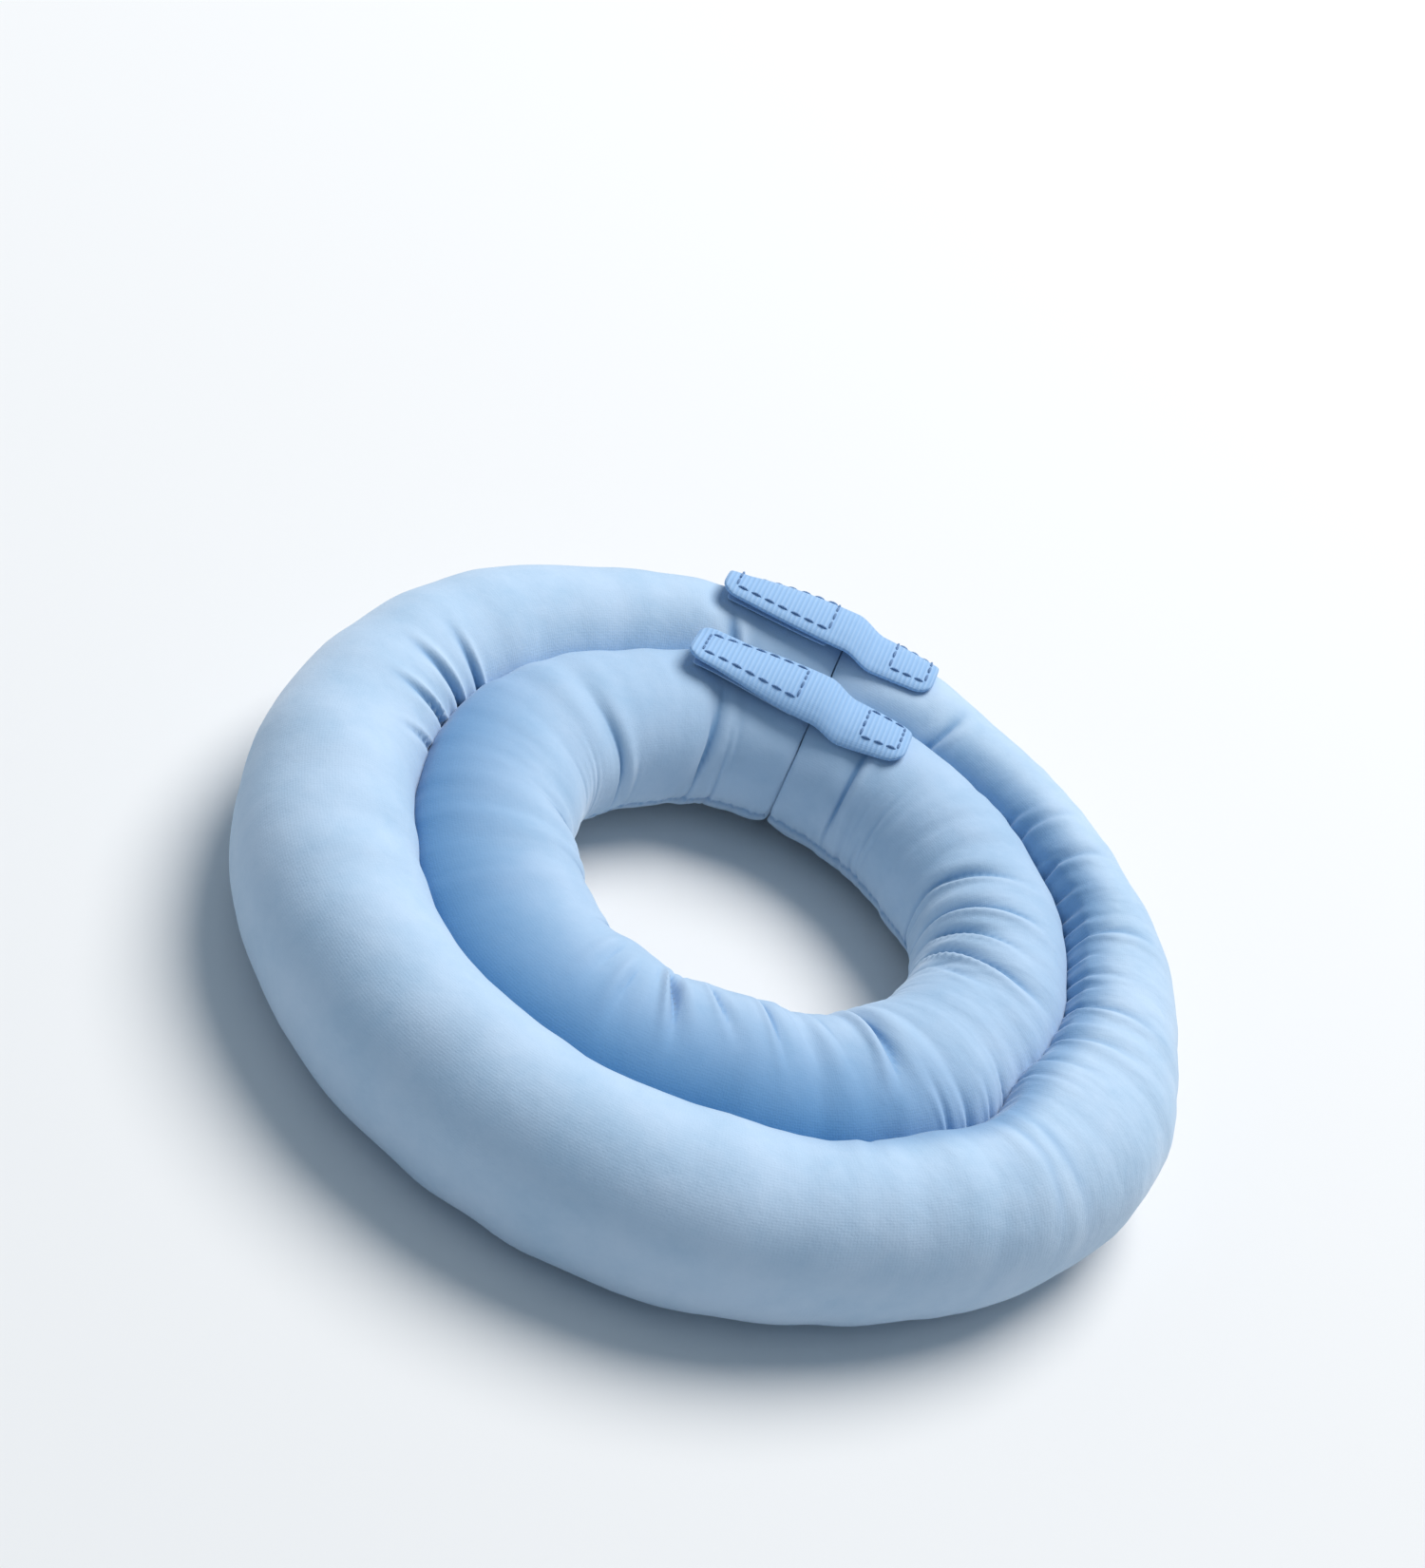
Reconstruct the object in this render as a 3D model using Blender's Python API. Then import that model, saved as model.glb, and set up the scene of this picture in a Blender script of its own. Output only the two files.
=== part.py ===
"""Soft two-ring recovery collar (a stuffed Elizabethan collar) for a kitten or small cat.

Metres, +Z up. The collar lies flat with its face upwards, its chest side towards -Y and its
slit, which opens at the nape, at +Y. The origin is under the middle of the collar.
"""
import math

import bmesh
import bpy
from mathutils import Vector

# Driving dimensions
OUTER_RADIUS = 0.080
NECK_RADIUS = 0.0302
SEAM_RADIUS = 0.0562
NECK_CENTRE = Vector((0.0023, 0.0047))
SEAM_CENTRE = NECK_CENTRE / 2
MID_HEIGHT = 0.0140
OUTER_RISE = 0.0146
INNER_RISE_CHEST = 0.0123
INNER_RISE_NAPE = 0.0146
OUTER_DROP = 0.0155
INNER_DROP = 0.0123

# Cloth, seams and the gaps between touching pieces
CLOTH = 0.0008
GAP = 0.0003
SEAM_LAND = 0.0012
SEAM_THICKNESS = 0.0012
THREAD_WIDTH = 0.0008
THREAD_HEIGHT = 0.0005

# How the ring is divided: a fixed chest arc, a yielding zone at each side, and two arms
SIDE_HALF_ANGLE = 10.0
SECTION_GAP = 0.6
STEP_ANGLE = 10.0
LOBE_STEPS = 8

# Closure: straps sewn to the right arm, which cross the slit and fasten on the left arm
SLIT_HALF = 0.0003
PRESS_DEPTH = 0.0012
PRESS_FULL_ANGLE = 24.0
PRESS_NONE_ANGLE = 64.0
STRAP_THICKNESS = 0.0010
PATCH_THICKNESS = 0.0007
STRAP_TIP_X = -0.024
STRAP_LEVEL_X = 0.0
STRAP_FOLD_X = 0.006
ANCHOR_END_X = 0.017
PATCH_X = (-0.0225, -0.0030)
STRAP_WIDTHS = {"outer": 0.0150, "inner": 0.0130}
PATCH_MARGIN = 0.0015
CORNER_RADIUS = 0.0030
TIP_STEPS = 4

# Care label, sewn into the back of the ring seam
LABEL_ANGLE = -60.0
LABEL_WIDTH = 0.0100
LABEL_HEIGHT = 0.0105
LABEL_THICKNESS = 0.0004

COLOURS = {
    "cover": (0.38, 0.55, 0.78, 1.0),
    "stuffing": (0.86, 0.87, 0.88, 1.0),
    "thread": (0.30, 0.46, 0.70, 1.0),
    "strap": (0.34, 0.51, 0.75, 1.0),
    "hook_tape": (0.62, 0.72, 0.84, 1.0),
    "loop_tape": (0.55, 0.67, 0.82, 1.0),
    "label": (0.90, 0.90, 0.88, 1.0),
}
ROUGHNESS = 0.85


def clear_scene():
    """Remove what a new Blender file holds."""
    for item in list(bpy.data.objects):
        bpy.data.objects.remove(item, do_unlink=True)


def make_materials():
    """One Principled material for each kind of cloth, thread and tape."""
    materials = {}
    for name, colour in COLOURS.items():
        material = bpy.data.materials.new(name)
        material.use_nodes = True
        shader = material.node_tree.nodes["Principled BSDF"]
        shader.inputs["Base Color"].default_value = colour
        shader.inputs["Roughness"].default_value = ROUGHNESS
        shader.inputs["Metallic"].default_value = 0.0
        materials[name] = material
    return materials


def circle_radius(angle, centre, radius):
    """Distance from the origin to a circle, along a direction in degrees."""
    ray = Vector((math.cos(math.radians(angle)), math.sin(math.radians(angle))))
    along = ray.dot(centre)
    return along + math.sqrt(radius * radius - centre.length_squared + along * along)


def seam_radius(angle):
    return circle_radius(angle, SEAM_CENTRE, SEAM_RADIUS)


def neck_radius(angle):
    return circle_radius(angle, NECK_CENTRE, NECK_RADIUS)


def lobe_edges(angle, ring):
    """Inner and outer radius of one ring at a direction in degrees."""
    seam = seam_radius(angle)
    if ring == "outer":
        return seam + SEAM_LAND, OUTER_RADIUS
    return neck_radius(angle), seam - SEAM_LAND


def face_rise(angle, ring):
    """Height of a ring's crest over its middle; both rings stand level at the nape."""
    if ring == "outer":
        return OUTER_RISE
    towards_nape = (1.0 + math.sin(math.radians(angle))) / 2
    return INNER_RISE_CHEST + (INNER_RISE_NAPE - INNER_RISE_CHEST) * towards_nape**2


def press_limit(angle, ring):
    """Height that the closure presses a ring's crest down to, fading out along the arms."""
    fade = (PRESS_NONE_ANGLE - abs(angle - 90.0)) / (PRESS_NONE_ANGLE - PRESS_FULL_ANGLE)
    press = PRESS_DEPTH * min(1.0, max(0.0, fade))
    return MID_HEIGHT + face_rise(angle, ring) - press


def lobe_arch(angle, ring, side, inset):
    """(radius, height) along one ring's face or back, from its outer edge inwards."""
    low, high = lobe_edges(angle, ring)
    middle = (low + high) / 2
    half = (high - low) / 2 - inset
    drop = OUTER_DROP if ring == "outer" else INNER_DROP
    rise = (face_rise(angle, ring) if side > 0 else drop) - inset - GAP / 2
    points = []
    for step in range(LOBE_STEPS + 1):
        turn = math.pi * step / LOBE_STEPS
        height = MID_HEIGHT + side * (GAP / 2 + rise * math.sin(turn))
        height = min(max(height, inset), press_limit(angle, ring) - inset)
        points.append((middle + half * math.cos(turn), height))
    return points


def skin_path(angle, side):
    """Outside of both rings' cover, from the outer edge to the neck edge."""
    outer = lobe_arch(angle, "outer", side, 0.0)
    inner = lobe_arch(angle, "inner", side, 0.0)
    land = MID_HEIGHT + side * SEAM_THICKNESS
    outer[-1] = (outer[-1][0], land)
    inner[0] = (inner[0][0], land)
    return outer + inner


def cover_section(angle, side):
    """Closed outline of the face cover (side 1) or the back cover (side -1)."""
    outside = skin_path(angle, side)
    inside = lobe_arch(angle, "outer", side, CLOTH) + lobe_arch(angle, "inner", side, CLOTH)
    return outside + inside[::-1]


def filling_section(angle, ring):
    """Closed outline of one ring's stuffing."""
    inset = CLOTH + GAP
    top = lobe_arch(angle, ring, 1, inset)
    bottom = lobe_arch(angle, ring, -1, inset)
    middle = [(radius, MID_HEIGHT) for radius, height in (top[0], top[-1])]
    return [middle[0]] + top[1:-1] + [middle[1]] + bottom[1:-1][::-1]


def thread_section(angle, side):
    """Outline of the row of stitches in the groove between the rings."""
    seam = seam_radius(angle)
    near = MID_HEIGHT + side * (SEAM_THICKNESS + GAP)
    far = near + side * THREAD_HEIGHT
    half = THREAD_WIDTH / 2
    return [(seam + half, near), (seam + half, far), (seam - half, far), (seam - half, near)]


def place(radius, height, angle, slit_shift):
    """World point on the ring; the arms end on a plane beside the slit."""
    turn = math.radians(angle)
    across = math.cos(turn)
    blend = max(0.0, math.sin(turn))
    shift = slit_shift * blend * blend
    return Vector((radius * across + shift, radius * math.sin(turn), height))


def add_object(name, mesh, material):
    """Put a mesh in the scene as one named object."""
    mesh.materials.append(material)
    item = bpy.data.objects.new(name, mesh)
    bpy.context.collection.objects.link(item)
    return item


def finish_mesh(bm, name, smooth_angle=35.0):
    """Close off a bmesh as a mesh with outward faces and sharp edges kept."""
    bmesh.ops.recalc_face_normals(bm, faces=bm.faces)
    mesh = bpy.data.meshes.new(name)
    bm.to_mesh(mesh)
    bm.free()
    mesh.shade_smooth()
    mesh.set_sharp_from_angle(angle=math.radians(smooth_angle))
    return mesh


def sweep(name, section, start, end, material, slit_shift=0.0):
    """Sweep an outline round the ring between two directions, and cap both ends."""
    count = max(1, round((end - start) / STEP_ANGLE))
    bm = bmesh.new()
    rows = []
    for step in range(count + 1):
        angle = start + (end - start) * step / count
        outline = section(angle)
        rows.append([bm.verts.new(place(r, z, angle, slit_shift)) for r, z in outline])
    size = len(rows[0])
    for near, far in zip(rows, rows[1:]):
        for index in range(size):
            after = (index + 1) % size
            bm.faces.new((near[index], near[after], far[after], far[index]))
    bm.faces.new(rows[0][::-1])
    bm.faces.new(rows[-1])
    return add_object(name, finish_mesh(bm, name), material)


def extrude_outline(name, outline, direction, material):
    """Extrude a closed outline of world points along a vector."""
    bm = bmesh.new()
    face = bm.faces.new([bm.verts.new(point) for point in outline])
    grown = bmesh.ops.extrude_face_region(bm, geom=[face])
    moved = [item for item in grown["geom"] if isinstance(item, bmesh.types.BMVert)]
    bmesh.ops.translate(bm, verts=moved, vec=direction)
    return add_object(name, finish_mesh(bm, name), material)


def ring_section(body, angles, materials, slit_shift=0.0):
    """Covers, stuffing and seam stitches of one part of the ring."""
    start, end = angles
    covers = {"face": 1, "back": -1}
    for word, side in covers.items():
        sweep(f"{body}_{word}_cover", lambda angle: cover_section(angle, side),
              start, end, materials["cover"], slit_shift)
        sweep(f"{body}_{word}_stitches", lambda angle: thread_section(angle, side),
              start, end, materials["thread"], slit_shift)
    for ring in ("outer", "inner"):
        sweep(f"{body}_{ring}_stuffing", lambda angle: filling_section(angle, ring),
              start, end, materials["stuffing"], slit_shift)


def end_panel(name, hand, materials):
    """Cloth end of an arm, sewn across both rings beside the slit."""
    top = skin_path(90.0, 1)
    bottom = skin_path(90.0, -1)
    x = hand * SLIT_HALF
    outline = [Vector((x, r, z)) for r, z in top + bottom[::-1]]
    extrude_outline(name, outline, Vector((hand * CLOTH, 0, 0)), materials["cover"])


def rounded_rectangle(x_range, y_range, z, radius, steps=4):
    """Points of a rectangle with round corners, at one height."""
    (x0, x1), (y0, y1) = x_range, y_range
    corners = [
        (x1 - radius, y1 - radius, 0.0),
        (x0 + radius, y1 - radius, 90.0),
        (x0 + radius, y0 + radius, 180.0),
        (x1 - radius, y0 + radius, 270.0),
    ]
    points = []
    for x, y, first in corners:
        for step in range(steps + 1):
            turn = math.radians(first + 90.0 * step / steps)
            points.append(Vector((x + radius * math.cos(turn), y + radius * math.sin(turn), z)))
    return points


def strap_heights(ring):
    """Levels of the closure's layers above one ring's pressed crest."""
    crest = press_limit(90.0, ring)
    loop = crest + GAP
    hook = loop + PATCH_THICKNESS + GAP
    strap = hook + PATCH_THICKNESS + GAP
    return loop, hook, strap


def strap_middle(ring):
    """Distance from the origin to one ring's crest beside the slit."""
    low, high = lobe_edges(90.0, ring)
    return (low + high) / 2


def free_strap(ring, materials):
    """The strap from its fold to its round tip, stepping up over the fastening tapes."""
    loop, _, level = strap_heights(ring)
    fold = Vector((STRAP_FOLD_X, strap_middle(ring), loop + STRAP_THICKNESS + GAP / 2))
    half = STRAP_WIDTHS[ring] / 2
    bm = bmesh.new()
    stations = [(STRAP_FOLD_X - GAP, loop, half), (STRAP_LEVEL_X, level, half)]
    for step in range(TIP_STEPS + 1):
        turn = math.radians(90.0 * step / TIP_STEPS)
        x = STRAP_TIP_X + CORNER_RADIUS * (1 - math.sin(turn))
        stations.append((x, level, half - CORNER_RADIUS * (1 - math.cos(turn))))
    rows = []
    for x, z, width in stations:
        corners = [(-width, 0.0), (width, 0.0), (width, STRAP_THICKNESS), (-width, STRAP_THICKNESS)]
        rows.append([bm.verts.new((x - fold.x, dy, z + dz - fold.z)) for dy, dz in corners])
    for near, far in zip(rows, rows[1:]):
        for index in range(4):
            after = (index + 1) % 4
            bm.faces.new((near[index], near[after], far[after], far[index]))
    bm.faces.new(rows[0][::-1])
    bm.faces.new(rows[-1])
    strap = add_object(f"{ring}_strap", finish_mesh(bm, f"{ring}_strap"), materials["strap"])
    strap.location = fold
    return strap


def closure(ring, materials):
    """Strap, its sewn anchor, and the hook and loop tapes of one ring."""
    loop, hook, _ = strap_heights(ring)
    middle = strap_middle(ring)
    half = STRAP_WIDTHS[ring] / 2
    wide = (middle - half, middle + half)
    narrow = (wide[0] + PATCH_MARGIN, wide[1] - PATCH_MARGIN)
    anchor = [
        Vector((STRAP_FOLD_X, wide[0], loop)),
        Vector((ANCHOR_END_X, wide[0], loop)),
        Vector((ANCHOR_END_X, wide[1], loop)),
        Vector((STRAP_FOLD_X, wide[1], loop)),
    ]
    extrude_outline(f"{ring}_strap_anchor", anchor, Vector((0, 0, STRAP_THICKNESS)),
                    materials["strap"])
    free_strap(ring, materials)
    for word, height in (("loop", loop), ("hook", hook)):
        outline = rounded_rectangle(PATCH_X, narrow, height, CORNER_RADIUS / 2)
        extrude_outline(f"{ring}_{word}_patch", outline, Vector((0, 0, PATCH_THICKNESS)),
                        materials[f"{word}_tape"])


def care_label(materials):
    """Blank folded label that hangs from the back of the ring seam."""
    turn = math.radians(LABEL_ANGLE)
    out = Vector((math.cos(turn), math.sin(turn), 0))
    along = Vector((-math.sin(turn), math.cos(turn), 0))
    top = MID_HEIGHT - SEAM_THICKNESS - THREAD_HEIGHT - 2 * GAP
    centre = out * (seam_radius(LABEL_ANGLE) - LABEL_THICKNESS / 2) + Vector((0, 0, top))
    half = along * (LABEL_WIDTH / 2)
    down = Vector((0, 0, -LABEL_HEIGHT))
    outline = [centre - half, centre + half, centre + half + down, centre - half + down]
    extrude_outline("care_label", outline, out * LABEL_THICKNESS, materials["label"])


def build():
    clear_scene()
    materials = make_materials()
    side = SIDE_HALF_ANGLE
    gap = SECTION_GAP
    arm_shift = SLIT_HALF + CLOTH + GAP
    ring_section("chest", (-180.0 + side + gap, -side - gap), materials)
    ring_section("right_side", (-side, side), materials)
    ring_section("left_side", (180.0 - side, 180.0 + side), materials)
    ring_section("right_arm", (side + gap, 90.0), materials, arm_shift)
    ring_section("left_arm", (90.0, 180.0 - side - gap), materials, -arm_shift)
    end_panel("right_end_panel", 1, materials)
    end_panel("left_end_panel", -1, materials)
    closure("outer", materials)
    closure("inner", materials)
    care_label(materials)


build()
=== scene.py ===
"""Looks of the soft two-ring recovery collar: cover, stitches, closure straps, tapes and label."""

import math
from functools import partial

import bmesh
import bpy
import numpy as np
from mathutils import Matrix, Vector


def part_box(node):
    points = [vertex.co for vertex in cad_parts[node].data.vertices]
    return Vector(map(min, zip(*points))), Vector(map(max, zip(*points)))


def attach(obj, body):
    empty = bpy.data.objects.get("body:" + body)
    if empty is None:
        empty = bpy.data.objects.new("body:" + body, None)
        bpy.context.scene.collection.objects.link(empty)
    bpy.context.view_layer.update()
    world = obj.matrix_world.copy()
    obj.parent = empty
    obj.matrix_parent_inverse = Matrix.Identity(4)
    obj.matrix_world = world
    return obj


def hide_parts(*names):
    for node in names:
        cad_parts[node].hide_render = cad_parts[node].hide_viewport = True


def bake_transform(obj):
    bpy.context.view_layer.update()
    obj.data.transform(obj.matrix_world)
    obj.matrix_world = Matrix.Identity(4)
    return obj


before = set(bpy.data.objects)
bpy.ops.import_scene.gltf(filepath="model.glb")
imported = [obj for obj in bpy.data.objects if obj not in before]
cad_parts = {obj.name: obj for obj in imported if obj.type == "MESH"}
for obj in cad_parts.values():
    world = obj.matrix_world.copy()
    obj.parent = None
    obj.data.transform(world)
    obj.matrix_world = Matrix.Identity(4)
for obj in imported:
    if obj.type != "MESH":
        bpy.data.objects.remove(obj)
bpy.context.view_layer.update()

# Camera, as the photograph sees the collar
CAMERA_ELEVATION = 38.4
CAMERA_DISTANCE = 0.506
CAMERA_ROLL = 24.5
CAMERA_LENS = 71.5
CAMERA_SHIFT = (-0.0072, 0.0817)
CAMERA_TARGET = Vector((0.0, 0.0, 0.0140))

# Studio: name, place, size, watts and colour of each lamp, then what surrounds the collar
LAMPS = (
    ("key", (0.46, 1.20, 2.05), 1.7, 68.0, (1.0, 0.985, 0.97)),
    ("side_fill", (-0.9, -0.1, 0.7), 0.7, 0.5, (0.9, 0.96, 1.0)),
)
SKY_COLOUR = (0.62, 0.81, 1.0, 1.0)
SKY_STRENGTH = 0.33
BACKDROP_COLOUR = (0.97, 0.98, 1.0, 1.0)
FLOOR_COLOUR = (0.80, 0.79, 0.78, 1.0)
FLOOR_HALF = 1.3
FLOOR_LEVEL = -0.0002

# The ring's driving sizes, as in the CAD
OUTER_RADIUS = 0.080
NECK_RADIUS = 0.0302
SEAM_RADIUS = 0.0562
NECK_CENTRE = np.array((0.0023, 0.0047))
SEAM_CENTRE = NECK_CENTRE / 2
MID_HEIGHT = 0.0140

# The slit, and how far the straps flatten the rings beside it, in metres and degrees
SLIT_DIRECTION = 90
SLIT_END = 0.00015
PRESS_DEPTH = 0.0012
PRESS_REACH = 64
PRESS_FADE = 40

# Section of the two rings: how high and deep each rolls, how they meet and how their edges waver
OUTER_RISE = 0.0146
OUTER_DEPTH = 0.0155
OUTER_TILT = 0.0004
INNER_RISE = 0.0123
NAPE_RISE = 0.0020
INNER_TILT = 0.0007
ROLL_POWER = 0.86
LEAN = 0.0035
OVERLAP = 0.0016
CREASE_HALF = 0.0001
SEAM_HALF = 0.0007
SEAM_WANDER = 0.0002
NECK_WANDER = 0.0006
OUTER_WANDER = 0.0005
OUTER_INSET = 0.0006

# How far the line between the rings and the outer edge wander from their circles:
# direction in degrees and shift outwards in millimetres
CREASE_SHIFTS = (
    (-170, -0.2), (-153, 1.0), (-138, 2.2), (-125, 6.1), (-112, 6.5), (-104, 5.4),
    (-98, 6.7), (-90, 5.1), (-81, 3.0), (-75, 4.3), (-62, 4.3), (-57, 4.2),
    (-50, 2.2), (-40, 2.7), (-32, 2.3), (-17, -2.4), (0, -2.2), (12, -2.0),
    (27, -0.7), (42, -1.6), (75, -0.4), (140, 0.0), (165, 0.5),
)
OUTER_SHIFTS = (
    (-165, 0.0), (-150, 0.7), (-121, 2.0), (-108, 1.1), (-76, 1.0), (-60, 0.3),
    (-45, 0.0), (-29, 1.1), (-19, 2.0), (-8, 1.6), (0, -0.4), (18, -2.4),
    (36, -5.0), (55, -3.2), (90, 0.0), (150, 0.0),
)
SEAM_SHARE = 0.5

# Mesh of the cover: rows round the ring, and columns from the seam on the face over the outer ring
# to the seam on the back, then under the inner ring and up to the seam on the face again
AROUND = 960
LOBE_POINTS = 29
LAST = LOBE_POINTS - 1
BACK_SEAM = (2 * LAST, 2 * LAST + 1)
EDGE_SEAMS = (LAST + 8, 3 * LAST - 3)
EDGE_SEAM_DEPTH = 0.00035

# How the cloth behaves
RELAX_STEPS = 300
DAMPING = 0.92
AROUND_STIFFNESS = 0.45
ACROSS_STIFFNESS = 0.30
ACROSS_SLACK = 1.01
START_NOISE = 0.0004
BENDING = 0.09
STUFFING = 0.001
STUFFING_IN = 0.004
CREST_FIRMNESS = 12.0
PRESSURE = 0.0000015
LUMP_HEIGHT = 0.00028
RIPPLE_HEIGHT = 0.00005
SURPLUS_ON_BACK = 0.070
PATCHES = 80

# Painted shade: how much deeper the blue is in folds, on two sides of the ring, beside the seam and where
# it is sewn
FOLD_SHADE = 0.60
FULL_FOLD = 0.0005
FULL_CREST = 0.0004
SHADOW_SIDE = -120
SHADED_SIDE = 5
INNER_SHADE = 0.16
SEAM_SHADE = 0.70
SEAM_SHADE_REACH = 0.0055
SEWN_SHADE = 0.6

# Panels that close the ends at the slit
END_COLUMNS = 17
END_TAPER = 0.05
END_TAPER_REACH = 0.0015
END_LEVEL = 0.00005
END_WAVE = 0.0004
END_WAVE_REACH = 0.0018
END_ROUNDING = 0.0009

# Folds the cloth keeps: ring, direction and share across at the start, the same at the end,
# sideways bow in degrees, width and depth in millimetres. Share 0 is the seam and 1 the ring's free edge.
FOLDS = (
    ("inner", 36, 0.95, 27, 0.33, 0, 1.2, 1.0),
    ("inner", 24, 0.98, 15, 0.26, 0, 1.3, 1.5),
    ("inner", 17, 0.95, 4, 0.35, 0, 1.1, 1.1),
    ("inner", 12, 0.98, -2, 0.18, -5, 1.4, 1.8),
    ("inner", 0, 0.85, -10, 0.40, -2, 1.4, 0.5),
    ("inner", -40, 0.94, -48, 0.22, 2, 1.5, 2.0),
    ("inner", -54, 0.80, -53, 0.30, 0, 1.5, 0.4),
    ("inner", -64, 0.80, -58, 0.35, 0, 1.4, 0.3),
    ("inner", -71, 0.78, -66, 0.34, 0, 1.0, 0.8),
    ("inner", -86, 0.76, -76, 0.40, 0, 1.0, 0.9),
    ("inner", -98, 0.78, -88, 0.32, 1, 1.1, 2.3),
    ("inner", -104, 0.66, -99, 0.26, 0, 1.5, 0.7),
    ("inner", -112, 0.75, -107, 0.30, 0, 1.8, 0.6),
    ("inner", -126, 1.10, -118, 0.50, 0, 2.0, 0.5),
    ("inner", -37, 0.0, -39, 0.40, 0, 0.9, 0.5),
    ("inner", -33, 0.0, -34, 0.36, 0, 0.9, 0.5),
    ("inner", -28, 0.0, -28, 0.34, 0, 0.9, 0.5),
    ("inner", -24, 0.0, -22, 0.30, 0, 0.9, 0.6),
    ("outer", 158, 0.0, 160, 0.50, 2, 1.0, 0.8),
    ("outer", 164, 0.0, 169, 0.55, 2, 1.1, 1.1),
    ("outer", 170, 0.0, 178, 0.50, 2, 0.9, 1.1),
    ("outer", 177, 0.0, 187, 0.38, 1, 0.8, 0.7),
    ("outer", 50, 0.0, 48, 0.45, 0, 1.0, 0.5),
    ("outer", 45, 0.0, 44, 0.60, 1, 1.1, 0.6),
    ("outer", 41, 0.0, 37, 0.40, 0, 0.9, 0.4),
    ("outer", 36, 0.0, 35, 0.65, 1, 1.1, 0.7),
    ("outer", 32, 0.0, 30, 0.40, 0, 0.9, 0.5),
    ("outer", 28, 0.0, 26, 0.35, 0, 1.0, 0.45),
    ("outer", 24, 0.0, 22, 0.45, 1, 0.9, 0.5),
    ("outer", 20, 0.0, 18, 0.75, 1, 1.1, 0.7),
    ("outer", 16, 0.0, 15, 0.45, 0, 0.9, 0.5),
    ("outer", 12, 0.0, 9, 0.55, 0, 1.0, 0.5),
    ("outer", 8, 0.0, 7, 0.40, 0, 0.9, 0.5),
    ("outer", 4, 0.0, 0, 0.75, 0, 1.1, 0.6),
    ("outer", -1, 0.0, -3, 0.45, 0, 0.9, 0.4),
    ("outer", -7, 0.0, -8, 0.65, 1, 1.1, 0.5),
    ("outer", -12, 0.0, -14, 0.55, -1, 1.1, 0.4),
    ("outer", -18, 0.0, -19, 0.50, 0, 1.1, 0.35),
    ("outer", -28, 0.10, -27, 1.10, -3, 2.2, 0.4),
    ("outer", -36, 0.20, -37, 1.00, 3, 2.4, 0.4),
    ("outer", -56, 0.0, -60, 0.55, 2, 1.6, 0.4),
    ("outer", 104, 0.0, 107, 0.60, 2, 1.3, 0.8),
    ("outer", 72, 0.0, 70, 0.60, -2, 1.3, 0.8),
    ("inner", 70, 1.10, 74, 0.30, 3, 1.5, 0.9),
    ("inner", 118, 1.10, 112, 0.40, -3, 1.6, 0.9),
    ("inner", 140, 1.10, 146, 0.40, 3, 1.6, 0.7),
    ("inner", 188, 1.10, 183, 0.45, 3, 1.8, 0.6),
    ("inner", -150, 1.10, -154, 0.50, 2, 1.8, 0.5),
)
FOLD_BEGINS = 0.3
FOLD_ENDS = 0.65
FOLD_OFF_SEAM = 0.08
FOLD_SIDES = (0.75, 1.3)
RIDGE_OFFSET = 1.7
RIDGE_HEIGHT = 0.6
FAR_RIDGE = 0.4

# The two closures: where the strap folds up, ends and is sewn down, and the heights it lies at
CLOSURES = (("outer", 0.0150), ("inner", 0.0130))
STRAP_DROOPS = {"outer": (0.0013, 0.0038), "inner": (0.0026, 0.0013)}
STRAP_END_X = 0.0170
STRAP_FOLD_X = 0.0060
STRAP_LEVEL_X = 0.0
STRAP_TIP_X = -0.0240
STRAP_THICKNESS = 0.0010
STRAP_CORNER = 0.0030
ANCHOR_HEIGHT = 0.0282
STRAP_HEIGHT = 0.0302
TAPE_X = (-0.0225, -0.0030)
TAPE_MARGIN = 0.0015
LOOP_BASE = (0.0277, 0.0281)
HOOK_BASE = (0.0290, 0.0296)
CLOTH_LIMIT = 0.0274
HOLD_MARGIN = 0.003
HOLD_FADE = 0.004
HOLD_SOFTNESS = 0.00025
SELVEDGE_RISE = 0.14
SELVEDGE_INSET = 0.0009
SELVEDGE_WIDTH = 0.0005
TAPE_CORNER = 0.0008
SEWN_X = (0.0086, STRAP_END_X - 0.0016)
STRAP_STITCH_INSET = 0.0022
TAPE_STITCH_INSET = 0.0008
LOOP_STITCH_INSET = 0.0003

# Hooks and loops of the tapes; a hook's curl is its reach sideways, height and radius in millimetres
ROOT_DEPTH = 0.00005
HOOKS_FROM = 0.0011
HOOKS_TO = 0.0009
HOOK_PITCH_X = 0.00115
HOOK_PITCH_Y = 0.0010
HOOK_CURL = (
    (0.00, 0.00, 0.10),
    (0.00, -0.22, 0.08),
    (0.08, -0.36, 0.07),
    (0.19, -0.34, 0.06),
    (0.23, -0.24, 0.04),
)
LOOP_COUNT = 420
LOOP_INSET = 0.0012
LOOP_REACH = (0.0003, 0.0006)
LOOP_RISE = (0.0002, 0.00042)
LOOP_THREAD = 0.000045

# Label and thread
LABEL_WIDTH = 0.010
LABEL_HALF = 0.00007
LABEL_FOLD = 0.0004
THREAD_RADIUS = 0.00022
SEAM_THREAD_RADIUS = 1.3 * THREAD_RADIUS
STITCH_PITCH = 0.0024
STITCH_HOLES = (0.12, 0.88)


# Studio ---------------------------


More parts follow.
